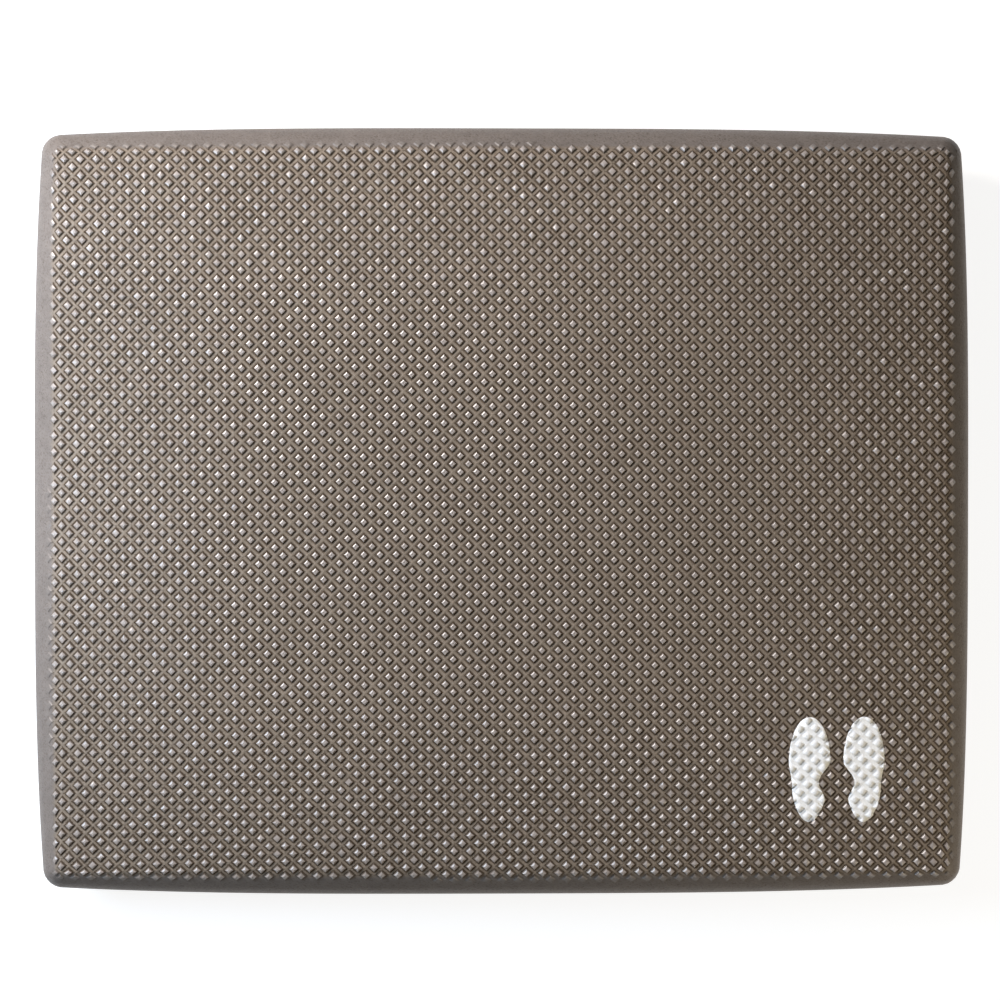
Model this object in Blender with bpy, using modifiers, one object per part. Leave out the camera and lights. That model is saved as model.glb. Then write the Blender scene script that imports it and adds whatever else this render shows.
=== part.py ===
"""Balance pad for standing exercises, 500 x 410 x 60 mm.

A soft foam core, built up from plies, lies between two skins. Each skin is one
shell that wraps a face and half of the sides, and the two skins meet at the
waist, half way up. The waist stands out past the faces and bulges in the middle
of each side, and both faces are crowned: flat in the middle, lower at the rim.
A small print lies on the upper skin, near one corner. Lengths are in metres, +X
runs along the pad, +Y across it, and Z = 0 is the floor on which it lies.
"""

import math

import bmesh
import bpy
from mathutils import Matrix, Vector

# The whole pad
LENGTH = 0.500
WIDTH = 0.410
THICKNESS = 0.060

# The sides, from the rim of a face out to the waist
SIDE_DEPTH = 0.016
END_BULGE = 0.0042
SIDE_BULGE = 0.0040
BULGE_POWER = 3.2
WAIST_CORNER_RADIUS = 0.011
RIM_CORNER_RADIUS = 0.0025
SIDE_ROUND_POWER = 1.8

# The crown of both faces: a flat middle, and the fall from there out to the waist
FLAT_LENGTH = 0.264
FLAT_WIDTH = 0.186
CROWN_FALL = 0.0095
CROWN_POWER = 2

# What the pad is built up from
SKIN_THICKNESS = 0.003
FIT_GAP = 0.0003
PLY_NAMES = ("lower", "middle", "upper")

# The print: two plain shoe soles, placed by their middle
PRINT_FROM_END = 0.074
PRINT_FROM_SIDE = 0.069
PRINT_THICKNESS = 0.0001
SOLE_SPREAD = 0.029
SOLE_LENGTH = 0.056
SOLE_WIDTH = 0.022
SOLE_TAPER_SHARE = 0.12
ARCH_CUT_SHARE = 0.30
ARCH_PLACE_SHARE = -0.22
ARCH_SPAN_SHARE = 0.38
ARCH_LEAN = 0.0022
PRINT_SIDES = {"left": -1, "right": 1}

# How finely the shapes are divided
CELLS_LONG = 16
CELLS_ACROSS = 12
FLAT_CELL_SHARE = 0.5
CORNER_STEPS = 4
CORNER_ARC_SHARE = 0.5
SIDE_STEPS = 5
PRINT_STEPS = 24

# How far a cutter runs past what it cuts, and how near points are to count as one
OVERRUN = 0.010
MERGE_DISTANCE = 0.00001

MID_HEIGHT = THICKNESS / 2
WAIST_HALF = Vector((LENGTH / 2, WIDTH / 2))
FLAT_HALF = Vector((FLAT_LENGTH / 2, FLAT_WIDTH / 2))
RIM_HALF = Vector((WAIST_HALF.x - SIDE_DEPTH, WAIST_HALF.y - SIDE_DEPTH))
RIM_CENTRE = Vector((RIM_HALF.x - RIM_CORNER_RADIUS, RIM_HALF.y - RIM_CORNER_RADIUS))
WAIST_CENTRE = Vector(
    (
        WAIST_HALF.x - END_BULGE - WAIST_CORNER_RADIUS,
        WAIST_HALF.y - SIDE_BULGE - WAIST_CORNER_RADIUS,
    )
)


def clear_scene():
    """Remove whatever the scene starts with."""
    for thing in list(bpy.context.scene.objects):
        bpy.data.objects.remove(thing, do_unlink=True)


def new_collection(name):
    """Make a collection in the scene."""
    collection = bpy.data.collections.new(name)
    bpy.context.scene.collection.children.link(collection)
    return collection


def make_material(name, colour, roughness):
    """Make a plain non-metal material."""
    material = bpy.data.materials.new(name)
    material.use_nodes = True
    shader = material.node_tree.nodes["Principled BSDF"]
    shader.inputs["Base Color"].default_value = (*colour, 1.0)
    shader.inputs["Roughness"].default_value = roughness
    shader.inputs["Metallic"].default_value = 0.0
    return material


def rim_frame(x, y):
    """Return the point inside the rim that a place hangs from, and the way out of it."""
    anchor = Vector(
        (
            max(-RIM_CENTRE.x, min(RIM_CENTRE.x, x)),
            max(-RIM_CENTRE.y, min(RIM_CENTRE.y, y)),
        )
    )
    return anchor, Vector((x, y)) - anchor


def bulge(share):
    """Return how much of a side's bulge is there, from 1 in its middle to 0 at its ends."""
    return 1 - min(1, abs(share)) ** BULGE_POWER


def waist_point(anchor, out):
    """Return the point of the waist that lies opposite a point of the rim."""
    along = Vector((anchor.x / RIM_CENTRE.x, anchor.y / RIM_CENTRE.y))
    return Vector(
        (
            WAIST_CENTRE.x * along.x + out.x * (WAIST_CORNER_RADIUS + END_BULGE * bulge(along.y)),
            WAIST_CENTRE.y * along.y + out.y * (WAIST_CORNER_RADIUS + SIDE_BULGE * bulge(along.x)),
        )
    )


def crown_drop(x, y):
    """Return how far a crowned face lies below its flat middle."""
    kept = 1
    for place, flat, waist in zip((x, y), FLAT_HALF, WAIST_HALF):
        share = max(0, min(1, (abs(place) - flat) / (waist - flat)))
        kept *= 1 - share**CROWN_POWER
    return CROWN_FALL * (1 - kept)


def wrap(x, y):
    """Fold a point of the flat sheet over the pad's upper half, above mid-height.

    Inside the rim the sheet is the face. Outside it, the distance to the rim is
    the share of the side's depth, and the side falls on a rounded curve.
    """
    anchor, away = rim_frame(x, y)
    beyond = max(0, away.length - RIM_CORNER_RADIUS)
    plan = Vector((x, y))
    fall = 1
    if beyond > 0:
        out = away.normalized()
        share = min(1, beyond / SIDE_DEPTH)
        rim = anchor + out * RIM_CORNER_RADIUS
        plan = rim.lerp(waist_point(anchor, out), share)
        fall = (1 - share**SIDE_ROUND_POWER) ** (1 / SIDE_ROUND_POWER)
    height = (MID_HEIGHT - crown_drop(plan.x, plan.y)) * fall
    return Vector((plan.x, plan.y, height))


def side_shares():
    """Return the shares of the side's depth at which its rings lie, evenly round the curve."""
    shares = []
    for step in range(1, SIDE_STEPS):
        turn = step / SIDE_STEPS
        lean = turn**2 / (turn**2 + (1 - turn) ** 2)
        shares.append(lean ** (1 / SIDE_ROUND_POWER))
    return shares + [1]


def half_surface():
    """Make the upper half of the pad's surface, open at mid-height.

    It starts as a flat grid, with larger cells in the face's flat middle. The corners
    are rounded, the rim is drawn out in rings, and then every point is wrapped, with
    the last ring exactly at mid-height. The faces are made triangles here, so that
    skins and plies lie face to face.
    """
    mesh = bmesh.new()
    bmesh.ops.create_grid(mesh, x_segments=CELLS_LONG, y_segments=CELLS_ACROSS, size=1)
    for vertex in mesh.verts:
        for axis in range(2):
            place = abs(vertex.co[axis])
            if place <= FLAT_CELL_SHARE:
                reach = FLAT_HALF[axis] * place / FLAT_CELL_SHARE
            else:
                border = RIM_HALF[axis] - FLAT_HALF[axis]
                reach = FLAT_HALF[axis] + border * (place - FLAT_CELL_SHARE) / (1 - FLAT_CELL_SHARE)
            vertex.co[axis] = math.copysign(reach, vertex.co[axis])

    corners = [vertex for vertex in mesh.verts if len(vertex.link_edges) == 2]
    bmesh.ops.bevel(
        mesh,
        geom=corners,
        offset=RIM_CORNER_RADIUS,
        segments=CORNER_STEPS,
        profile=CORNER_ARC_SHARE,
        affect="VERTICES",
    )

    for share in side_shares():
        rim = [edge for edge in mesh.edges if edge.is_boundary]
        drawn = bmesh.ops.extrude_edge_only(mesh, edges=rim)
        for vertex in (item for item in drawn["geom"] if isinstance(item, bmesh.types.BMVert)):
            anchor, away = rim_frame(vertex.co.x, vertex.co.y)
            reach = RIM_CORNER_RADIUS + SIDE_DEPTH * share
            vertex.co.xy = anchor + away.normalized() * reach

    for vertex in mesh.verts:
        vertex.co = wrap(vertex.co.x, vertex.co.y)
        if vertex.is_boundary:
            vertex.co.z = 0
    bmesh.ops.triangulate(mesh, faces=mesh.faces[:], quad_method="SHORT_EDGE")
    bmesh.ops.recalc_face_normals(mesh, faces=mesh.faces)
    return mesh


def inset_surface(distance):
    """Make the whole closed surface, moved in along its normals."""
    mesh = half_surface()
    whole = mesh.verts[:] + mesh.edges[:] + mesh.faces[:]
    bmesh.ops.mirror(
        mesh, geom=whole, matrix=Matrix.Identity(4), merge_dist=MERGE_DISTANCE, axis="Z"
    )
    bmesh.ops.recalc_face_normals(mesh, faces=mesh.faces)
    moved = {vertex: vertex.co - vertex.normal * distance for vertex in mesh.verts}
    for vertex, place in moved.items():
        vertex.co = place
    return mesh


def slice_off(mesh, height, above):
    """Cut away what lies above or below a height, and close the cut with a flat face."""
    whole = mesh.verts[:] + mesh.edges[:] + mesh.faces[:]
    cut = bmesh.ops.bisect_plane(
        mesh,
        geom=whole,
        dist=MERGE_DISTANCE,
        plane_co=(0, 0, height),
        plane_no=(0, 0, 1),
        clear_outer=above,
        clear_inner=not above,
    )
    loop = [item for item in cut["geom_cut"] if isinstance(item, bmesh.types.BMEdge)]
    bmesh.ops.edgeloop_fill(mesh, edges=loop)
    bmesh.ops.recalc_face_normals(mesh, faces=mesh.faces)


def as_mesh_data(mesh, name, smooth):
    """Turn a worked mesh into named mesh data."""
    data = bpy.data.meshes.new(name)
    mesh.to_mesh(data)
    mesh.free()
    if smooth:
        data.shade_smooth()
    return data


def add_part(name, data, material, collection, pad):
    """Add one named piece, carried by the empty at the pad's middle."""
    part = bpy.data.objects.new(name, data)
    part.data.materials.clear()
    part.data.materials.append(material)
    part.parent = pad
    collection.objects.link(part)
    return part


def add_slab_cutter(name, bottom, top, collection):
    """Add a slab, wider than the pad, between two heights above the floor."""
    mesh = bmesh.new()
    bmesh.ops.create_cube(mesh, size=1)
    size = (LENGTH + 2 * OVERRUN, WIDTH + 2 * OVERRUN, top - bottom)
    bmesh.ops.scale(mesh, vec=size, verts=mesh.verts)
    cutter = bpy.data.objects.new(name, as_mesh_data(mesh, name, smooth=False))
    cutter.location.z = (top + bottom) / 2
    cutter.hide_render = True
    cutter.display_type = "WIRE"
    collection.objects.link(cutter)
    return cutter


def add_skins(pad, parts, cutters, material_of):
    """Add the two skins, each hollow, thin and cut open just short of the waist."""
    upper_cutter = add_slab_cutter(
        "all_below_the_waist", -OVERRUN, MID_HEIGHT + FIT_GAP / 2, cutters
    )
    lower_cutter = add_slab_cutter(
        "all_above_the_waist", MID_HEIGHT - FIT_GAP / 2, THICKNESS + OVERRUN, cutters
    )
    for name, cutter in (("top_skin", upper_cutter), ("bottom_skin", lower_cutter)):
        data = as_mesh_data(half_surface(), name, smooth=True)
        skin = add_part(name, data, material_of[name], parts, pad)
        mirror = skin.modifiers.new("lower_half", "MIRROR")
        mirror.use_axis = (False, False, True)
        mirror.merge_threshold = MERGE_DISTANCE
        wall = skin.modifiers.new("wall", "SOLIDIFY")
        wall.thickness = SKIN_THICKNESS
        wall.offset = -1
        cut = skin.modifiers.new("open_at_the_waist", "BOOLEAN")
        cut.operation = "DIFFERENCE"
        cut.object = cutter
        cut.solver = "EXACT"


def add_core(pad, parts, material_of):
    """Add the foam plies that fill the skins, with a gap all round each."""
    inset = SKIN_THICKNESS + FIT_GAP
    count = len(PLY_NAMES)
    ply = (THICKNESS - 2 * inset - (count - 1) * FIT_GAP) / count
    for index, level in enumerate(PLY_NAMES):
        name = f"core_ply_{level}"
        bottom = inset - MID_HEIGHT + index * (ply + FIT_GAP)
        mesh = inset_surface(inset)
        if index > 0:
            slice_off(mesh, bottom, above=False)
        if index < count - 1:
            slice_off(mesh, bottom + ply, above=True)
        add_part(name, as_mesh_data(mesh, name, smooth=False), material_of[name], parts, pad)


def sole_point(side, across, along):
    """Return where a point of a unit circle lies on a sole, from the sole's middle."""
    near_arch = 1 - min(1, abs(along - ARCH_PLACE_SHARE) / ARCH_SPAN_SHARE) ** 2
    width = SOLE_WIDTH / 2 * (1 + SOLE_TAPER_SHARE * along - ARCH_CUT_SHARE * near_arch**2)
    lean = side * ARCH_LEAN * near_arch**2
    return Vector((across * width + lean, along * SOLE_LENGTH / 2))


def add_printed_sole(name, side, pad, parts, material):
    """Add one printed sole, a thin patch that follows the crown with a gap below it."""
    middle = Vector((LENGTH / 2 - PRINT_FROM_END, PRINT_FROM_SIDE - WIDTH / 2))
    middle.x += side * SOLE_SPREAD / 2
    mesh = bmesh.new()
    made = bmesh.ops.create_circle(
        mesh, segments=PRINT_STEPS, cap_ends=True, cap_tris=True, radius=1
    )
    for vertex in made["verts"]:
        place = middle + sole_point(side, vertex.co.x, vertex.co.y)
        vertex.co = wrap(place.x, place.y) + Vector((0, 0, FIT_GAP))
    raised = bmesh.ops.extrude_face_region(mesh, geom=mesh.faces[:], use_keep_orig=True)
    top = [item for item in raised["geom"] if isinstance(item, bmesh.types.BMVert)]
    bmesh.ops.translate(mesh, vec=(0, 0, PRINT_THICKNESS), verts=top)
    bmesh.ops.recalc_face_normals(mesh, faces=mesh.faces)
    add_part(name, as_mesh_data(mesh, name, smooth=False), material, parts, pad)


def make_materials():
    """Make each piece's own material: grey-brown skins, paler foam and white ink."""
    finish_of = {
        "top_skin": ((0.21, 0.175, 0.145), 0.50),
        "bottom_skin": ((0.20, 0.167, 0.138), 0.52),
    }
    for level in PLY_NAMES:
        finish_of[f"core_ply_{level}"] = ((0.33, 0.29, 0.25), 0.90)
    for side in PRINT_SIDES:
        finish_of[f"printed_sole_{side}"] = ((0.86, 0.85, 0.83), 0.55)
    return {
        name: make_material(f"{name}_finish", colour, roughness)
        for name, (colour, roughness) in finish_of.items()
    }


def build():
    """Build the pad."""
    clear_scene()
    parts = new_collection("balance_pad")
    cutters = new_collection("balance_pad_cutters")
    pad = bpy.data.objects.new("balance_pad_middle", None)
    pad.location.z = MID_HEIGHT
    parts.objects.link(pad)
    material_of = make_materials()
    add_skins(pad, parts, cutters, material_of)
    add_core(pad, parts, material_of)
    for name, side in PRINT_SIDES.items():
        name = f"printed_sole_{name}"
        add_printed_sole(name, side, pad, parts, material_of[name])


build()
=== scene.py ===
import math

import bmesh
import bpy
import numpy as np
from mathutils import Matrix, Vector, noise


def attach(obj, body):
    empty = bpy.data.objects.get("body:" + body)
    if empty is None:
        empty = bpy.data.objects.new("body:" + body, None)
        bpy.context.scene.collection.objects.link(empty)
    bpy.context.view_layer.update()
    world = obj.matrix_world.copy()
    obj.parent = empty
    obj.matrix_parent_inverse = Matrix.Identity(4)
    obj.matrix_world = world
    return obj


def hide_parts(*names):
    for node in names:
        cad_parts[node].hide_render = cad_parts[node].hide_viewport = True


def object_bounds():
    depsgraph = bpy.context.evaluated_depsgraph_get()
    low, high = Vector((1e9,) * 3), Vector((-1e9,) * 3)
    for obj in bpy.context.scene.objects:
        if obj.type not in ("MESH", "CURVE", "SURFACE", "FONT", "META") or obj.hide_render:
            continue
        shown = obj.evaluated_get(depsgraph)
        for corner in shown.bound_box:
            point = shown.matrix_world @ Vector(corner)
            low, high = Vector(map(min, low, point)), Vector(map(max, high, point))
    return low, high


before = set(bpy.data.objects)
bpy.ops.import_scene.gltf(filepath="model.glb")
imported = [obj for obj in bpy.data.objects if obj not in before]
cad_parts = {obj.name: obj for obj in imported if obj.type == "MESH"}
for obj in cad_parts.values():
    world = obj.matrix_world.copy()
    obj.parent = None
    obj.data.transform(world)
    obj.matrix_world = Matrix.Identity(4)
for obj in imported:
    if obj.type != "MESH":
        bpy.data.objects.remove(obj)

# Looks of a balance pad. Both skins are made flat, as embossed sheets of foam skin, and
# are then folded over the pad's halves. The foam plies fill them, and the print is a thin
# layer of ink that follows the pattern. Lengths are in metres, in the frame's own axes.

cad_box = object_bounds()

# The whole pad
LENGTH, WIDTH, THICKNESS = cad_box[1] - cad_box[0]
MID_HEIGHT = THICKNESS / 2

# The sides, from the rim of a face out to the waist
SIDE_DEPTH = 0.016
BULGES = np.array((0.0042, 0.0040))
BULGE_POWER = 3.2
WAIST_CORNER_RADIUS = 0.011
RIM_CORNER_RADIUS = 0.0025
SIDE_ROUND_POWER = 1.8
WAIST_HALF = np.array((LENGTH, WIDTH)) / 2
RIM_HALF = WAIST_HALF - SIDE_DEPTH
RIM_CENTRE = RIM_HALF - RIM_CORNER_RADIUS
WAIST_CENTRE = WAIST_HALF - BULGES - WAIST_CORNER_RADIUS

# The crown of both faces
FLAT_HALF = np.array((0.264, 0.186)) / 2
CROWN_FALL = 0.0095
CROWN_POWER = 2

# The skins and their edge at the waist
SKIN_THICKNESS = 0.003
FIT_GAP = 0.0003
LIP_RINGS = ((0.9985, -0.00002), (1, -0.0003))
SIDE_RINGS = 5
INNER_CELLS = (20, 16)
INNER_SIDE_RINGS = 5
CORNER_STEPS = 4

# The pressed pattern: square cells on their corners, each with one pimple
CELL = 0.0060
PATTERN_TURN = math.radians(45.65)
PATTERN_SKEW = 0.007
PATTERN_STRETCH = 1.010
PATTERN_PLACE = {"top": (-0.0144, 0.0471), "bottom": (0.0031, -0.0022)}
RIDGE_HEIGHT = 0.00026
RIDGE_STEP = np.array((0.00046, -0.00016))
GROUND_STEP = np.array((0.00078, -0.00010))
FLANK_STEP = np.array((0.00052, 0.00090))
SHOULDER_STEP = np.array((0.00050, 0.00026))
RIM_GROUND_STEP = np.array((0.00052, -0.00010))
RIM_FLANK_STEP = np.array((0.00060, 0.00085))
RIM_SHOULDER_STEP = np.array((0.00090, 0.00040))
GROW_FROM_SHARE = 0.35
GROW_TO_SHARE = 0.88
GROWTH_ZONES = 8
DIMPLE_DEPTH = 0.00015
SHARP_ANGLE = math.radians(32)
FLANK_RING = 2
RELIEF = FLANK_STEP[1] + SHOULDER_STEP[1]
PLAIN_RELIEF_SHARE = 0.28
GLOSS_AT_RELIEF_SHARES = (0, 0.09, 0.30, 0.75, 1)
GLOSS_SHARES = (0, 0.05, 0.25, 0.80, 1)
PLAIN_GLOSS_SHARE = 0.25

# Where the pattern dies out on the sides, as shares of their depth
FADE_FROM_SHARE = 0.18
FADE_TO_SHARE = 0.56
PRESS_TO_SHARE = 0.50
PLAIN_FROM_SHARE = 0.68
OUTLINE_CUTS = 24

# How the pattern closes up towards the middle of each side, and its small unevenness
DRAW_IN_FROM = np.array((0.120, 0.100))
DRAW_IN = np.array((0.0020, 0.0012))
DRAW_IN_POWER = 4
WOBBLE = 0.00005
RIM_WOBBLE = 0.00004
WOBBLE_LENGTH = 0.00162
WOBBLE_SEED = 7

# The UV map: the outer surface as one sheet, with the inner wall small above it
INNER_MAP_SCALE = 0.15
INNER_MAP_PLACE = np.array((0.1, 0.91))
LIP_MAP_SPREAD = 1.04

# The print: two plain shoe soles
SOLE_PLACE = Vector((LENGTH / 2 - 0.074, 0.069 - WIDTH / 2))
SOLE_SPREAD = 0.029
SOLE_LENGTH = 0.056
SOLE_WIDTH = 0.022
SOLE_TAPER_SHARE = 0.12
ARCH_CUT_SHARE = 0.30
ARCH_PLACE_SHARE = -0.22
ARCH_SPAN_SHARE = 0.38
ARCH_LEAN = 0.0022
SOLE_POINTS = 64
INK_THICKNESS = 0.00005
INK_LIFT = 0.00006
INK_BLOCK_HALF = 0.005

# The plies of the core
PLY_GRAIN = 0.0035
PLY_CLEARANCE = 0.00020
PLY_ROUGHNESS = 0.00012
PLY_ROUGHNESS_LENGTH = 0.009

# Colours
# Painted shade for the grooves, dimples, flanks and the ground's hollows, also the colour of the darker
# streaks on the plain sides
SHADE_AND_STREAK_COLOUR = (0.034, 0.020, 0.010)
SKIN_COLOUR = (0.195, 0.153, 0.114)
TOP_COLOUR = (0.285, 0.242, 0.214)
PLAIN_COLOUR = (0.158, 0.134, 0.117)
FOAM_COLOUR = (0.33, 0.29, 0.25)
PORE_COLOUR = (0.16, 0.135, 0.11)
INK_COLOUR = (0.88, 0.87, 0.85)
THIN_INK_COLOUR = (0.62, 0.60, 0.57)
FLOOR_COLOUR = (0.30, 0.30, 0.30)
WHITE = (1, 1, 1)

# The skin's finish. A span is the part of a mask, from 0 to 1, over which an effect comes in
# or goes out, and a shade is the share of the dark groove colour that it mixes in. That colour is
# painted shade in the grooves, dimples, flanks and hollows, and makes darker streaks on the plain sides
GROOVE_SHADE_SPAN = (0, 0.10)
TOP_COLOUR_SPAN = (0.31, 0.85)
PLAIN_COLOUR_SPAN = (0, 0.4)
DIMPLE_SPAN = (0.35, 0.9)
DIMPLE_PAINTED_SHADE = 0.75
FLANK_PAINTED_SHADE = 0.78
ROUGH_GROUND_SPAN = (0.05, 0.40)
MIDDLE_ROUGH_SHARE = 0.2
HOLLOW_SPAN = (0.20, 0.45)
HOLLOW_PAINTED_SHADE = 0.6
DARK_STREAK_SPAN = (0.22, 0.46)
DARK_STREAK_SHADE = 0.55
PEBBLES = {"Size": 0.0006, "Streak": 1}
STREAKS = {"Size": 0.0007, "Streak": 7}
LUMPS = {"Size": 0.0012, "Streak": 1.6}
PEBBLE_HEIGHT = 0.6
STREAK_HEIGHT = 4
LUMP_HEIGHT = 7
SKIN_CLOUDS = ({"Size": 0.09, "Amount": 0.05}, {"Size": 0.006, "Amount": 0.08})
SKIN_BUMP_DEPTH = 0.00008
SKIN_SPECULAR = 0.08
SKIN_COAT_ROUGHNESS = 0.31
GROUND_ROUGHNESS = 0.50
TOP_ROUGHNESS = 0.30

# The finish of the foam, the ink and the floor
FOAM_CELLS = {"Size": 0.0009, "Streak": 1}
FOAM_CLOUDS = {"Size": 0.03, "Amount": 0.06}
FOAM_BUMP_DEPTH = 0.0003
FOAM_ROUGHNESS = 0.9
INK_PORES = {"Size": 0.0008, "Streak": 1}
INK_CLOUDS = {"Size": 0.004, "Amount": 0.04}
INK_BUMP_DEPTH = 0.00005
INK_ROUGHNESS = 0.5
THIN_INK_SHARE = 0.35
FLOOR_ROUGHNESS = 0.9
FLOOR_HALF = 6

# The shared effects: clouds of colour, and the grain and pores of foam
CLOUD_SPAN = (0.3, 0.7)
CLOUD_DETAIL = 3
GRAIN_TURN = math.radians(35)
GRAIN_DETAIL = 2
PORE_SPAN = (0.1, 0.45)
PORE_DEPTH_SHARE = 0.3

# Light
FLOOR_GLOW = 0.86
FILL_LIGHT = 0.035
FILL_COLOUR = (1, 0.88, 0.72)
KEY_LIGHT = {"azimuth": 137, "elevation": 34, "distance": 1.25, "size": 0.3, "power": 19}
KEY_LIGHT_COLOUR = (1, 0.92, 0.875)
LEFT_LIGHT = {"azimuth": 170, "elevation": 40, "distance": 0.8, "size": 0.4, "power": 7.4}
LEFT_LIGHT_COLOUR = (0.62, 0.79, 1)
RIGHT_LIGHT = {"azimuth": -32, "elevation": 20, "distance": 1.0, "size": 0.5, "power": 3.2}
RIGHT_LIGHT_COLOUR = (1, 0.88, 0.66)

# The camera
CAMERA_PLACE = Vector((-0.030, 0.027, MID_HEIGHT + 1.5))
CAMERA_AIM = Vector((-0.0015, 0.0062, MID_HEIGHT))
CAMERA_SENSOR_WIDTH = 36
CAMERA_LENS = 100.8

# Small steps for the working of meshes
NORMAL_STEP = 0.00005
MERGE_DISTANCE = 0.00001
EDGE_MERGE = 0.00055
TINY = 1e-12


def smooth_step(share):
    """Ease from 0 to 1."""
    share = np.clip(share, 0, 1)
    return share**2 * (3 - 2 * share)


def rim_frame(sheet):
    """Return the points inside the rim that places hang from, and the way and reach out of them."""
    anchor = np.clip(sheet, -RIM_CENTRE, RIM_CENTRE)
    away = sheet - anchor
    reach = np.linalg.norm(away, axis=1, keepdims=True)
    return anchor, away / np.maximum(reach, TINY), reach


def side_share(sheet):
    """Return how far down the side places lie: 0 up to the rim, 1 at the waist."""
    reach = rim_frame(sheet)[2]
    return np.clip((reach[:, 0] - RIM_CORNER_RADIUS) / SIDE_DEPTH, 0, 1)


def crown_drop(plan):
    """Return how far a crowned face lies below its flat middle."""
    share = np.clip((np.abs(plan) - FLAT_HALF) / (WAIST_HALF - FLAT_HALF), 0, 1)
    return CROWN_FALL * (1 - np.prod(1 - share**CROWN_POWER, axis=1))


def smooth_surface(sheet):
    """Fold flat places over the pad's smooth upper half, above mid-height."""
    anchor, out, reach = rim_frame(sheet)
    share = side_share(sheet)[:, None]
    along = anchor / RIM_CENTRE
    bulged = BULGES * (1 - np.abs(along[:, ::-1]) ** BULGE_POWER)
    waist = WAIST_CENTRE * along + out * (WAIST_CORNER_RADIUS + bulged)
    rim = anchor + out * np.minimum(reach, RIM_CORNER_RADIUS)
    plan = rim * (1 - share) + waist * share
    fall = (1 - share[:, 0] ** SIDE_ROUND_POWER) ** (1 / SIDE_ROUND_POWER)
    return np.column_stack((plan, (MID_HEIGHT - crown_drop(plan)) * fall))


def surface_normals(sheet):
    """Return the smooth surface's normals at flat places."""
    along_x, along_y = (
        smooth_surface(sheet + step) - smooth_surface(sheet - step)
        for step in (np.array((NORMAL_STEP, 0)), np.array((0, NORMAL_STEP)))
    )
    normals = np.cross(along_x, along_y)
    return normals / np.linalg.norm(normals, axis=1, keepdims=True)


def get_places(data):
    """Return a mesh's points as an array."""
    places = np.empty(len(data.vertices) * 3)
    data.vertices.foreach_get("co", places)
    return places.reshape(-1, 3)


def set_places(data, places):
    """Move a mesh's points."""
    data.vertices.foreach_set("co", places.ravel())
    data.update()


def fold(data, half):
    """Fold a flat piece, whose heights count from the smooth surface, over one half of the pad."""
    flat = get_places(data)
    sheet = flat[:, :2]
    folded = smooth_surface(sheet) + surface_normals(sheet) * flat[:, 2:]
    folded[:, 2] = np.maximum(folded[:, 2], FIT_GAP / 2)
    if half == "bottom":
        folded[:, 2] *= -1
        data.flip_normals()
    folded[:, 2] += MID_HEIGHT
    set_places(data, folded)


def flat_places(vertices):
    """Return bmesh vertices' flat places as an array."""
    return np.array([vertex.co.xy for vertex in vertices])


def place_on_side(vertices, share):
    """Slide flat vertices out to a share of the sides' depth."""
    anchor, out, _ = rim_frame(flat_places(vertices))
    for vertex, place in zip(vertices, anchor + out * (RIM_CORNER_RADIUS + SIDE_DEPTH * share)):
        vertex.co.xy = place


def draw_out(mesh, share, height):
    """Draw the open edge of a flat mesh out to a share of the sides' depth."""
    edge = [item for item in mesh.edges if item.is_boundary]
    drawn = bmesh.ops.extrude_edge_only(mesh, edges=edge)
    vertices = [item for item in drawn["geom"] if isinstance(item, bmesh.types.BMVert)]
    place_on_side(vertices, share)
    for vertex in vertices:
        vertex.co.z = height


def ring_shares(first, count):
    """Return shares of the sides' depth, evenly round the curve, after a first one."""
    start = math.asin(first ** (SIDE_ROUND_POWER / 2))
    steps = np.linspace(start, math.pi / 2, count + 2)[1:-1]
    return np.sin(steps) ** (2 / SIDE_ROUND_POWER)


def ground_height(share):
    """Return how the ground lies to the smooth surface: sunk on the face, flush at the waist."""
    return -RELIEF * (1 - smooth_step(share))


def pattern_strength(share):
    """Return how much of the pattern is left at a share of the sides' depth."""
    return 1 - smooth_step((share - FADE_FROM_SHARE) / (FADE_TO_SHARE - FADE_FROM_SHARE))


def draw_in(places):
    """Close the pattern up a little towards the middle of each side."""
    beyond = np.maximum(0, np.abs(places) - DRAW_IN_FROM) / (RIM_HALF - DRAW_IN_FROM)
    mid_side = 1 - np.minimum(1, np.abs(places[:, ::-1]) / RIM_HALF[::-1]) ** DRAW_IN_POWER
    return places - np.sign(places) * DRAW_IN * beyond**2 * mid_side


def trim_to_outline(mesh, share):
    """Cut a flat mesh off at a share of the sides' depth."""
    for cut in range(OUTLINE_CUTS):
        angle = math.tau * cut / OUTLINE_CUTS
        out = Vector((math.cos(angle), math.sin(angle), 0))
        corner = Vector((math.copysign(RIM_CENTRE[0], out.x), math.copysign(RIM_CENTRE[1], out.y), 0))
        bmesh.ops.bisect_plane(
            mesh,
            geom=mesh.verts[:] + mesh.edges[:] + mesh.faces[:],
            dist=MERGE_DISTANCE,
            plane_co=corner + out * (RIM_CORNER_RADIUS + SIDE_DEPTH * share),
            plane_no=out,
            clear_outer=True,
        )
    edge = [vertex for vertex in mesh.verts if vertex.is_boundary]
    bmesh.ops.remove_doubles(mesh, verts=edge, dist=EDGE_MERGE)
    place_on_side([vertex for vertex in mesh.verts if vertex.is_boundary], share)


def growth_share(places):
    """Return how far the pimples have grown: 0 in the middle of the face, 1 near the rim."""
    outward = np.max(np.abs(places) / RIM_HALF, axis=1)
    return smooth_step((outward - GROW_FROM_SHARE) / (GROW_TO_SHARE - GROW_FROM_SHARE))


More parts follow.
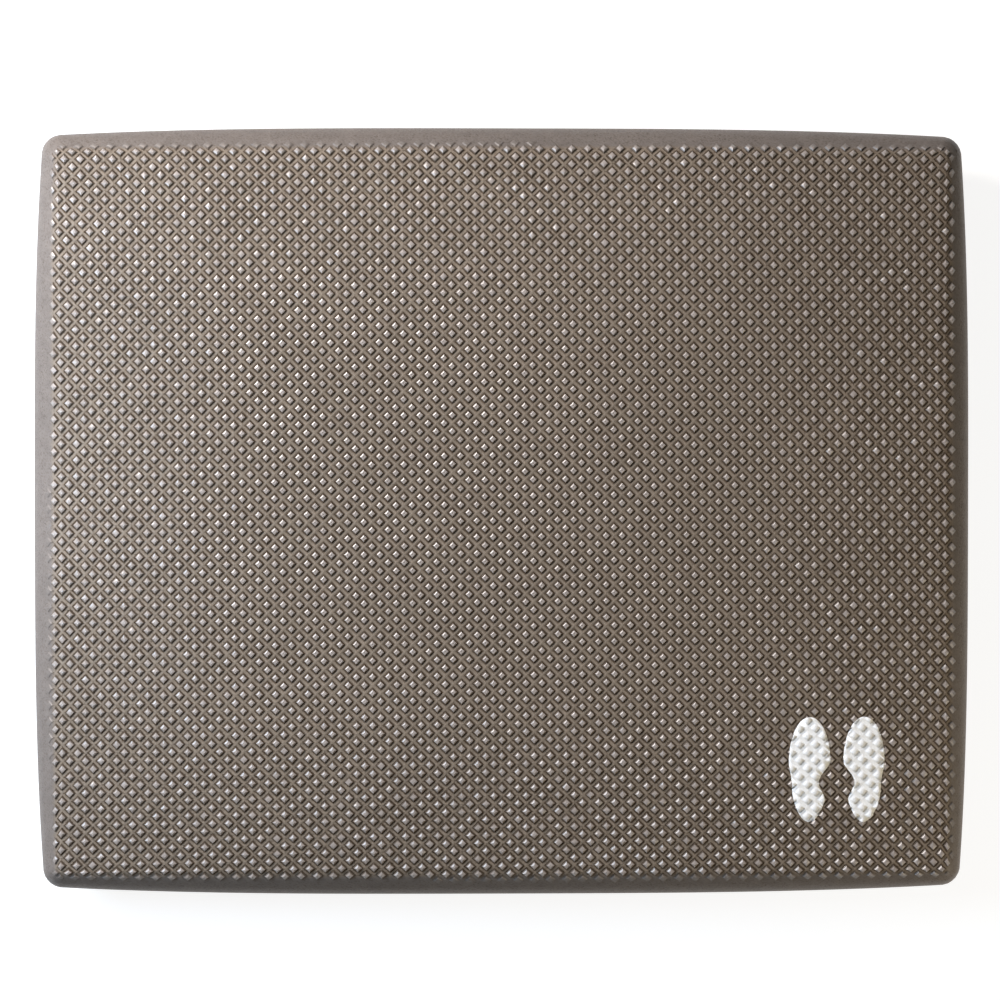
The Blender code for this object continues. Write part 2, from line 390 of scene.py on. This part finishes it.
def press_pattern(mesh, cells):
    """Press ridge, ground, flank, shoulder and dimple into each flat cell, and mark flanks and dimples.

    The pimples widen towards the rim.
    """
    middle = np.array((RIDGE_STEP, GROUND_STEP, FLANK_STEP, SHOULDER_STEP))
    rim = np.array((RIDGE_STEP, RIM_GROUND_STEP, RIM_FLANK_STEP, RIM_SHOULDER_STEP))
    growth = growth_share(np.array([face.calc_center_median().xy for face in cells]))
    zones = np.round(growth * GROWTH_ZONES).astype(int)
    # The flank and dimple marks are where the skin's material paints shade
    dimple, flank = mesh.verts.layers.float["dimple"], mesh.faces.layers.float["flank"]
    for zone in range(GROWTH_ZONES + 1):
        faces = [face for face, number in zip(cells, zones) if number == zone]
        share = zone / GROWTH_ZONES
        for number, (thickness, depth) in enumerate(middle * (1 - share) + rim * share):
            ring = bmesh.ops.inset_individual(
                mesh, faces=faces, thickness=thickness, depth=depth, use_even_offset=True
            )
            for face in ring["faces"]:
                face[flank] = number == FLANK_RING
        for vertex in bmesh.ops.poke(mesh, faces=faces, offset=-DIMPLE_DEPTH)["verts"]:
            vertex[dimple] = 1 - share


def make_embossed_sheet(half):
    """Make the outer surface of a skin, flat, out to the share where its sides turn plain."""
    mesh = bmesh.new()
    mesh.verts.layers.float.new("dimple")
    mesh.faces.layers.float.new("flank")
    place = Vector((*PATTERN_PLACE[half], 0))
    reach = sum(WAIST_HALF) / math.sqrt(2) + place.length + CELL
    count = 2 * math.ceil(reach / CELL)
    bmesh.ops.create_grid(mesh, x_segments=count, y_segments=count, size=count * CELL / 2)
    whole_cell = Vector((CELL / 2, CELL / 2, 0))
    bmesh.ops.translate(mesh, verts=mesh.verts, vec=whole_cell)
    turn = Matrix.Rotation(PATTERN_TURN, 4, "Z")
    skew = Matrix(((1, PATTERN_SKEW, 0, 0), (0, PATTERN_STRETCH, 0, 0), (0, 0, 1, 0), (0, 0, 0, 1)))
    bmesh.ops.transform(mesh, matrix=Matrix.Translation(place) @ skew @ turn, verts=mesh.verts)
    for vertex, drawn in zip(mesh.verts, draw_in(flat_places(mesh.verts))):
        vertex.co.xy = drawn
        vertex.co.z = RIDGE_HEIGHT
    trim_to_outline(mesh, PLAIN_FROM_SHARE)

    middles = np.array([face.calc_center_median().xy for face in mesh.faces])
    pressed = [
        face
        for face, share in zip(mesh.faces, side_share(middles))
        if share < PRESS_TO_SHARE and len(face.verts) == 4
    ]
    press_pattern(mesh, pressed)

    share = side_share(flat_places(mesh.verts))
    strength = pattern_strength(share)
    uneven = WOBBLE + RIM_WOBBLE * growth_share(flat_places(mesh.verts))
    # Without a seed of its own, this noise differs from run to run
    noise.seed_set(WOBBLE_SEED)
    for vertex, ground, kept, swing in zip(mesh.verts, ground_height(share), strength, uneven):
        wobble = noise.noise_vector(vertex.co / WOBBLE_LENGTH) * swing * kept
        vertex.co.z = ground + kept * vertex.co.z
        vertex.co += wobble
    return mesh


def make_inner_wall():
    """Make the plain inner surface of a skin, flat, out to the waist."""
    mesh = bmesh.new()
    bmesh.ops.create_grid(mesh, x_segments=INNER_CELLS[0], y_segments=INNER_CELLS[1], size=1)
    bmesh.ops.scale(mesh, vec=(*RIM_HALF, 1), verts=mesh.verts)
    corners = [vertex for vertex in mesh.verts if len(vertex.link_edges) == 2]
    bmesh.ops.bevel(
        mesh,
        geom=corners,
        offset=RIM_CORNER_RADIUS,
        segments=CORNER_STEPS,
        profile=0.5,
        affect="VERTICES",
    )
    for vertex in mesh.verts:
        vertex.co.z = -SKIN_THICKNESS
    for share in (*ring_shares(0, INNER_SIDE_RINGS), 1):
        draw_out(mesh, share, -SKIN_THICKNESS)
    return mesh


def turn_of(vertex):
    """Return where a point lies round the pad, from -pi to pi."""
    return math.atan2(vertex.co.y / WIDTH, vertex.co.x / LENGTH)


def open_ring(mesh):
    """Return the open edge's points in turn, anticlockwise."""
    return sorted((vertex for vertex in mesh.verts if vertex.is_boundary), key=turn_of)


def seam_together(mesh, outer, inner):
    """Close the gap between two rings of points with triangles."""
    rings = (outer, inner)
    turns = [[*map(turn_of, ring), math.inf] for ring in rings]
    at = [0, 0]
    while at != [len(outer), len(inner)]:
        ahead = int(turns[1][at[1]] < turns[0][at[0]])
        mesh.faces.new((outer[at[0] - 1], inner[at[1] - 1], rings[ahead][at[ahead]]))
        at[ahead] += 1


def as_mesh_data(mesh, name):
    """Turn a worked mesh into named mesh data."""
    data = bpy.data.meshes.new(name)
    mesh.to_mesh(data)
    mesh.free()
    return data


def add_piece(name, data, material, replaced):
    """Add one piece of the pad in the place of its solid."""
    piece = bpy.data.objects.new(name, data)
    bpy.context.scene.collection.objects.link(piece)
    data.materials.clear()
    data.materials.append(material)
    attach(piece, "root")
    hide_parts(replaced)
    return piece


def note_finish(data):
    """Note how high, glossy, plain and grown each point of a flat skin is, for its material."""
    flat = get_places(data)
    share = side_share(flat[:, :2])
    kept = pattern_strength(share)
    relief = (flat[:, 2] - ground_height(share)) / RELIEF + (1 - kept) * PLAIN_RELIEF_SHARE
    gloss = np.interp(relief, GLOSS_AT_RELIEF_SHARES, GLOSS_SHARES)
    gloss *= 1 - (1 - kept) * (1 - PLAIN_GLOSS_SHARE)
    notes = {
        "relief": np.clip(relief, 0, 1),
        "plain": 1 - kept,
        "gloss": gloss,
        "growth": growth_share(flat[:, :2]),
    }
    for name, values in notes.items():
        data.attributes.new(name, "FLOAT", "POINT").data.foreach_set("value", values)


def lay_out(data):
    """Give a flat skin its UV map."""
    flat = get_places(data)
    corner_points = np.empty(len(data.loops), np.int32)
    data.loops.foreach_get("vertex_index", corner_points)
    inner_point = flat[:, 2] < -SKIN_THICKNESS / 2
    starts = np.empty(len(data.polygons), np.int32)
    data.polygons.foreach_get("loop_start", starts)
    inner_face = np.logical_or.reduceat(inner_point[corner_points], starts)
    counts = np.diff(np.append(starts, len(corner_points)))
    inner = np.repeat(inner_face, counts)[:, None]
    places = flat[corner_points, :2]
    outer_map = (places + WAIST_HALF) / LENGTH
    lip = np.where(inner_point[corner_points], 1, LIP_MAP_SPREAD)[:, None]
    inner_map = places * lip / LENGTH * INNER_MAP_SCALE + INNER_MAP_PLACE
    layer = data.uv_layers.new(name="OFBake")
    layer.data.foreach_set("uv", np.where(inner, inner_map, outer_map).ravel())


def add_skin(half, material):
    """Add one skin: its embossed sheet, plain sides, lip and inner wall, folded over one half."""
    sheet = make_embossed_sheet(half)
    embossed = bpy.data.meshes.new(f"{half}_sheet")
    sheet.to_mesh(embossed)
    for share in ring_shares(PLAIN_FROM_SHARE, SIDE_RINGS):
        draw_out(sheet, share, ground_height(share))
    for share, height in LIP_RINGS:
        draw_out(sheet, share, height)
    outer = open_ring(sheet)
    sheet.from_mesh(as_mesh_data(make_inner_wall(), "inner_wall"))
    known = set(outer)
    seam_together(sheet, outer, [vertex for vertex in open_ring(sheet) if vertex not in known])
    bmesh.ops.recalc_face_normals(sheet, faces=sheet.faces)
    data = as_mesh_data(sheet, f"embossed_{half}_skin")
    note_finish(data)
    lay_out(data)
    fold(data, half)
    data.shade_smooth()
    data.set_sharp_from_angle(angle=SHARP_ANGLE)
    skin = add_piece(f"embossed_{half}_skin", data, material, f"{half}_skin")
    return embossed


def evaluated_mesh(piece, name):
    """Return a piece's mesh with its modifiers applied, and remove the piece."""
    depsgraph = bpy.context.evaluated_depsgraph_get()
    data = bpy.data.meshes.new_from_object(piece.evaluated_get(depsgraph))
    data.name = name
    bpy.data.objects.remove(piece)
    return data


def sole_point(side, across, along):
    """Return where a point of a unit circle lies on a sole, from the sole's middle."""
    near_arch = 1 - min(1, abs(along - ARCH_PLACE_SHARE) / ARCH_SPAN_SHARE) ** 2
    width = SOLE_WIDTH / 2 * (1 + SOLE_TAPER_SHARE * along - ARCH_CUT_SHARE * near_arch**2)
    lean = side * ARCH_LEAN * near_arch**2
    return Vector((across * width + lean, along * SOLE_LENGTH / 2))


def make_sole_block(side, middle):
    """Make a block with the outline of a sole, through the flat sheet."""
    mesh = bmesh.new()
    made = bmesh.ops.create_circle(mesh, segments=SOLE_POINTS, cap_ends=True, radius=1)
    for vertex in made["verts"]:
        vertex.co.xy = middle + sole_point(side, vertex.co.x, vertex.co.y)
        vertex.co.z = -INK_BLOCK_HALF
    raised = bmesh.ops.extrude_face_region(mesh, geom=mesh.faces[:], use_keep_orig=True)
    top = [item for item in raised["geom"] if isinstance(item, bmesh.types.BMVert)]
    bmesh.ops.translate(mesh, vec=(0, 0, 2 * INK_BLOCK_HALF), verts=top)
    bmesh.ops.recalc_face_normals(mesh, faces=mesh.faces)
    block = bpy.data.objects.new("sole_block", as_mesh_data(mesh, "sole_block"))
    bpy.context.scene.collection.objects.link(block)
    return block


def add_inked_sole(name, side, sheet, material):
    """Add one printed sole, cut from a film of ink laid over the embossed sheet."""
    middle = SOLE_PLACE + Vector((side * SOLE_SPREAD / 2, 0))
    mesh = bmesh.new()
    mesh.from_mesh(sheet)
    room = SOLE_LENGTH / 2 + CELL
    outside = [face for face in mesh.faces if (face.calc_center_median().xy - middle).length > room]
    bmesh.ops.delete(mesh, geom=outside, context="FACES")
    bmesh.ops.translate(mesh, vec=(0, 0, INK_LIFT), verts=mesh.verts)
    film = bpy.data.objects.new("ink_film", as_mesh_data(mesh, "ink_film"))
    bpy.context.scene.collection.objects.link(film)
    wall = film.modifiers.new("ink_thickness", "SOLIDIFY")
    wall.thickness = INK_THICKNESS
    wall.offset = 1
    block = make_sole_block(side, middle)
    cut = film.modifiers.new("sole_outline", "BOOLEAN")
    cut.operation = "INTERSECT"
    cut.solver = "EXACT"
    cut.object = block
    data = evaluated_mesh(film, f"inked_sole_{name}")
    bpy.data.objects.remove(block)
    fold(data, "top")
    data.shade_smooth()
    add_piece(f"inked_sole_{name}", data, material, f"printed_sole_{name}")


def add_ply(level, material):
    """Add one ply of cut foam, with softened edges and an uneven surface, just inside its solid."""
    node = f"core_ply_{level}"
    base = bpy.data.objects.new("ply_base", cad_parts[node].data.copy())
    bpy.context.scene.collection.objects.link(base)
    remesh = base.modifiers.new("even_faces", "REMESH")
    remesh.mode = "VOXEL"
    remesh.voxel_size = PLY_GRAIN
    data = evaluated_mesh(base, f"foam_{node}")
    normals = np.empty(len(data.vertices) * 3)
    data.vertices.foreach_get("normal", normals)
    places = get_places(data)
    uneven = np.array([noise.noise(Vector(place) / PLY_ROUGHNESS_LENGTH) for place in places])
    inward = PLY_CLEARANCE + PLY_ROUGHNESS * (1 + uneven) / 2
    set_places(data, places - normals.reshape(-1, 3) * inward[:, None])
    data.shade_smooth()
    ply = add_piece(f"foam_{node}", data, material, node)


def add_node(tree, kind, inputs, **settings):
    """Add a shader node. Its inputs are joined to sockets, or set to values."""
    node = tree.nodes.new(f"ShaderNode{kind}")
    for name, value in settings.items():
        setattr(node, name, value)
    for name, value in inputs.items():
        if isinstance(value, bpy.types.NodeSocket):
            tree.links.new(value, node.inputs[name])
        else:
            node.inputs[name].default_value = value
    return node


def calculate(tree, operation, first, second):
    """Work out one number from two, and return the result."""
    return add_node(tree, "Math", {0: first, 1: second}, operation=operation).outputs[0]


def multiply(tree, first, second):
    """Multiply two numbers, and return the result."""
    return calculate(tree, "MULTIPLY", first, second)


def noted(tree, name):
    """Return a value that is noted on the mesh."""
    return add_node(tree, "Attribute", {}, attribute_name=name).outputs["Fac"]


def map_to(tree, value, low, high, start=0, end=1):
    """Map a number that goes from start to end to one from low to high, and return it."""
    inputs = {"Value": value, "From Min": start, "From Max": end, "To Min": low, "To Max": high}
    return add_node(tree, "MapRange", inputs).outputs["Result"]


def mix_colours(tree, share, first, second, blend="MIX"):
    """Mix two colours, and return the result."""
    node = add_node(tree, "Mix", {}, data_type="RGBA", blend_type=blend)
    sockets = [socket for socket in node.inputs if socket.type in ("RGBA", "VALUE") and socket.enabled]
    for socket, value in zip(sockets, (share, first, second)):
        if isinstance(value, bpy.types.NodeSocket):
            tree.links.new(value, socket)
        else:
            socket.default_value = value if socket.type == "VALUE" else (*value, 1)
    return next(socket for socket in node.outputs if socket.enabled)


def new_group(name, inputs, outputs):
    """Make a shader node group with named inputs and outputs."""
    group = bpy.data.node_groups.new(name, "ShaderNodeTree")
    for socket, value in inputs.items():
        kind = "NodeSocketColor" if isinstance(value, tuple) else "NodeSocketFloat"
        group.interface.new_socket(socket, in_out="INPUT", socket_type=kind).default_value = value
    for socket, kind in outputs.items():
        group.interface.new_socket(socket, in_out="OUTPUT", socket_type=kind)
    given = group.nodes.new("NodeGroupInput").outputs
    results = group.nodes.new("NodeGroupOutput").inputs
    return group, given, results


def use_group(tree, group, inputs):
    """Place a group in a material with its own values, and return its outputs."""
    return add_node(tree, "Group", inputs, node_tree=group).outputs


def make_mottling():
    """Make the group that varies a colour in soft clouds of one size."""
    group, given, results = new_group(
        "soft_mottling",
        {"Colour": (*WHITE, 1), "Size": 0.05, "Amount": 0.1},
        {"Colour": "NodeSocketColor"},
    )
    place = add_node(group, "TexCoord", {}).outputs["Object"]
    scale = calculate(group, "DIVIDE", 1, given["Size"])
    inputs = {"Vector": place, "Scale": scale, "Detail": CLOUD_DETAIL}
    clouds = add_node(group, "TexNoise", inputs).outputs["Fac"]
    swing = multiply(group, map_to(group, clouds, -1, 1, *CLOUD_SPAN), given["Amount"])
    tone = calculate(group, "ADD", 1, swing)
    grey = add_node(group, "CombineColor", {0: tone, 1: tone, 2: tone}).outputs[0]
    group.links.new(mix_colours(group, 1, given["Colour"], grey, "MULTIPLY"), results["Colour"])
    return group


def make_grain():
    """Make the group for the grain of foam: its height, and a mask of its pores."""
    group, given, results = new_group(
        "foam_grain",
        {"Size": 0.0005, "Streak": 1.0},
        {"Height": "NodeSocketFloat", "Pores": "NodeSocketFloat"},
    )
    place = add_node(group, "TexCoord", {}).outputs["Object"]
    fine = calculate(group, "DIVIDE", 1, given["Size"])
    long = calculate(group, "DIVIDE", fine, given["Streak"])
    scale = add_node(group, "CombineXYZ", {0: long, 1: fine, 2: fine}).outputs[0]
    turned = add_node(group, "Mapping", {"Vector": place, "Rotation": (0, 0, GRAIN_TURN)}).outputs[0]
    spread = add_node(group, "VectorMath", {0: turned, 1: scale}, operation="MULTIPLY").outputs[0]
    inputs = {"Vector": spread, "Scale": 1, "Detail": GRAIN_DETAIL}
    rough = add_node(group, "TexNoise", inputs).outputs["Fac"]
    cells = add_node(group, "TexVoronoi", {"Vector": spread, "Scale": 1}).outputs["Distance"]
    pores = map_to(group, cells, 1, 0, *PORE_SPAN)
    height = calculate(group, "SUBTRACT", rough, multiply(group, pores, PORE_DEPTH_SHARE))
    group.links.new(height, results["Height"])
    group.links.new(pores, results["Pores"])
    return group


def new_material(name, roughness):
    """Make a material with its shader, and return both with the node tree."""
    material = bpy.data.materials.new(name)
    material.use_nodes = True
    shader = material.node_tree.nodes["Principled BSDF"]
    shader.inputs["Roughness"].default_value = roughness
    return material, shader, material.node_tree


def finish_shader(tree, shader, colour, height, depth):
    """Give a shader its colour, and a bump of a real depth."""
    tree.links.new(colour, shader.inputs["Base Color"])
    bump = add_node(tree, "Bump", {"Height": height, "Distance": depth, "Strength": 1})
    tree.links.new(bump.outputs["Normal"], shader.inputs["Normal"])


def colour_skin(tree, relief, plain, mottling):
    """Return the skin's colour: painted shade low down, in dimples and on flanks, and lighter on the
    tops.
    """
    # Painted shade at the foot of the ground, in the grooves, giving way to the skin's colour a little
    # way up
    low = map_to(tree, relief, 0, 1, *GROOVE_SHADE_SPAN)
    high = map_to(tree, relief, 0, 1, *TOP_COLOUR_SPAN)
    # Painted shade in the dimples on the pimples' tops
    dimple = map_to(tree, noted(tree, "dimple"), 0, DIMPLE_PAINTED_SHADE, *DIMPLE_SPAN)
    # Painted shade on the pimples' flanks, fading out on the plain sides
    flank = multiply(tree, noted(tree, "flank"), map_to(tree, plain, FLANK_PAINTED_SHADE, 0))
    colour = mix_colours(tree, low, SHADE_AND_STREAK_COLOUR, SKIN_COLOUR)
    colour = mix_colours(tree, high, colour, TOP_COLOUR)
    for shade in (dimple, flank):
        colour = mix_colours(tree, shade, colour, SHADE_AND_STREAK_COLOUR)
    colour = mix_colours(tree, map_to(tree, plain, 0, 1, *PLAIN_COLOUR_SPAN), colour, PLAIN_COLOUR)
    for clouds in SKIN_CLOUDS:
        colour = use_group(tree, mottling, {"Colour": colour, **clouds})["Colour"]
    return colour


def make_skin_material(mottling, grain):
    """Satin foam skin: glossy tops on rough, pebbly ground with painted shade in its hollows, and
    darker streaks on the plain sides.
    """
    material, shader, tree = new_material("foam_skin", GROUND_ROUGHNESS)
    shader.inputs["Specular IOR Level"].default_value = SKIN_SPECULAR
    shader.inputs["Coat Roughness"].default_value = SKIN_COAT_ROUGHNESS
    relief, plain, growth = (noted(tree, name) for name in ("relief", "plain", "growth"))
    pebbles, streaks, lumps = (
        use_group(tree, grain, values)["Height"] for values in (PEBBLES, STREAKS, LUMPS)
    )
    low_ground = map_to(tree, relief, 1, 0, *ROUGH_GROUND_SPAN)
    near_rim = map_to(tree, growth, MIDDLE_ROUGH_SHARE, 1)
    pressed = calculate(tree, "SUBTRACT", 1, plain)
    rough_ground = multiply(tree, multiply(tree, low_ground, near_rim), pressed)
    # Painted shade in the hollows of the lumps on the rough ground near the rim
    painted_hollow_shade = map_to(tree, lumps, HOLLOW_PAINTED_SHADE, 0, *HOLLOW_SPAN)
    dark_streaks = map_to(tree, streaks, DARK_STREAK_SHADE, 0, *DARK_STREAK_SPAN)
    colour = colour_skin(tree, relief, plain, mottling)
    for place, shade in ((rough_ground, painted_hollow_shade), (plain, dark_streaks)):
        colour = mix_colours(tree, multiply(tree, place, shade), colour, SHADE_AND_STREAK_COLOUR)
    height = multiply(tree, pebbles, PEBBLE_HEIGHT)
    for place, marks, size in ((plain, streaks, STREAK_HEIGHT), (rough_ground, lumps, LUMP_HEIGHT)):
        height = calculate(tree, "ADD", height, multiply(tree, marks, multiply(tree, place, size)))
    roughness = map_to(tree, relief, GROUND_ROUGHNESS, TOP_ROUGHNESS)
    tree.links.new(roughness, shader.inputs["Roughness"])
    tree.links.new(noted(tree, "gloss"), shader.inputs["Coat Weight"])
    finish_shader(tree, shader, colour, height, SKIN_BUMP_DEPTH)
    return material


def make_foam_material(mottling, grain):
    """Matt foam, cut through its cells."""
    material, shader, tree = new_material("cut_foam", FOAM_ROUGHNESS)
    cells = use_group(tree, grain, FOAM_CELLS)
    colour = mix_colours(tree, cells["Pores"], FOAM_COLOUR, PORE_COLOUR)
    colour = use_group(tree, mottling, {"Colour": colour, **FOAM_CLOUDS})["Colour"]
    finish_shader(tree, shader, colour, cells["Height"], FOAM_BUMP_DEPTH)
    return material


def make_ink_material(mottling, grain):
    """White screen-printed ink, a little thin over the pores of the skin."""
    material, shader, tree = new_material("white_ink", INK_ROUGHNESS)
    pores = use_group(tree, grain, INK_PORES)
    thin = multiply(tree, pores["Pores"], THIN_INK_SHARE)
    colour = mix_colours(tree, thin, INK_COLOUR, THIN_INK_COLOUR)
    colour = use_group(tree, mottling, {"Colour": colour, **INK_CLOUDS})["Colour"]
    finish_shader(tree, shader, colour, pores["Height"], INK_BUMP_DEPTH)
    return material


def background_rays(tree):
    """Return 1 for rays that show the background: to the camera, off gloss and through glass."""
    rays = add_node(tree, "LightPath", {}).outputs
    gloss = calculate(tree, "ADD", rays["Is Glossy Ray"], rays["Is Transmission Ray"])
    return calculate(tree, "ADD", rays["Is Camera Ray"], gloss)


def add_floor():
    """Add a plain pale floor that keeps the pad's shadow."""
    mesh = bmesh.new()
    bmesh.ops.create_grid(mesh, x_segments=1, y_segments=1, size=FLOOR_HALF)
    floor = bpy.data.objects.new("floor", as_mesh_data(mesh, "floor"))
    bpy.context.scene.collection.objects.link(floor)
    material, shader, tree = new_material("pale_floor", FLOOR_ROUGHNESS)
    shader.inputs["Base Color"].default_value = (*FLOOR_COLOUR, 1)
    shader.inputs["Emission Color"].default_value = (*WHITE, 1)
    glow = multiply(tree, background_rays(tree), FLOOR_GLOW)
    tree.links.new(glow, shader.inputs["Emission Strength"])
    floor.data.materials.append(material)


def add_light(name, azimuth, elevation, distance, size, power, colour):
    """Add a square lamp that looks at the pad's middle."""
    lamp = bpy.data.lights.new(name, "AREA")
    lamp.size = size
    lamp.energy = power
    lamp.color = colour
    holder = bpy.data.objects.new(name, lamp)
    bpy.context.scene.collection.objects.link(holder)
    turn, rise = math.radians(azimuth), math.radians(elevation)
    way = Vector((math.cos(turn) * math.cos(rise), math.sin(turn) * math.cos(rise), math.sin(rise)))
    holder.location = way * distance
    holder.rotation_mode = "QUATERNION"
    holder.rotation_quaternion = way.to_track_quat("Z", "Y")


def set_world():
    """Light the scene evenly from all round, and show white where nothing stands."""
    world = bpy.data.worlds.new("studio")
    bpy.context.scene.world = world
    world.use_nodes = True
    tree = world.node_tree
    background = tree.nodes["Background"]
    shown = background_rays(tree)
    tree.links.new(map_to(tree, shown, FILL_LIGHT, 1), background.inputs["Strength"])
    tree.links.new(mix_colours(tree, shown, FILL_COLOUR, WHITE), background.inputs["Color"])


def add_camera():
    """Look down on the pad from above, a little left of its middle."""
    camera = bpy.data.objects.new("camera", bpy.data.cameras.new("camera"))
    bpy.context.scene.collection.objects.link(camera)
    camera.data.sensor_width = CAMERA_SENSOR_WIDTH
    camera.data.lens = CAMERA_LENS
    camera.location = CAMERA_PLACE
    way = (CAMERA_AIM - CAMERA_PLACE).normalized()
    side = way.cross(Vector((0, 1, 0))).normalized()
    up = side.cross(way)
    turned = Matrix((side, up, -way)).transposed()
    camera.rotation_mode = "QUATERNION"
    camera.rotation_quaternion = turned.to_quaternion()
    bpy.context.scene.camera = camera


def build():
    """Build the pad, its stage and its light."""
    effects = make_mottling(), make_grain()
    skin = make_skin_material(*effects)
    foam = make_foam_material(*effects)
    ink = make_ink_material(*effects)
    sheet = add_skin("top", skin)
    add_skin("bottom", skin)
    for name, side in (("left", -1), ("right", 1)):
        add_inked_sole(name, side, sheet, ink)
    for level in ("lower", "middle", "upper"):
        add_ply(level, foam)
    add_floor()
    add_light("key_light", colour=KEY_LIGHT_COLOUR, **KEY_LIGHT)
    add_light("left_light", colour=LEFT_LIGHT_COLOUR, **LEFT_LIGHT)
    add_light("right_light", colour=RIGHT_LIGHT_COLOUR, **RIGHT_LIGHT)
    set_world()
    add_camera()
    bpy.context.scene.view_settings.view_transform = "Standard"


build()
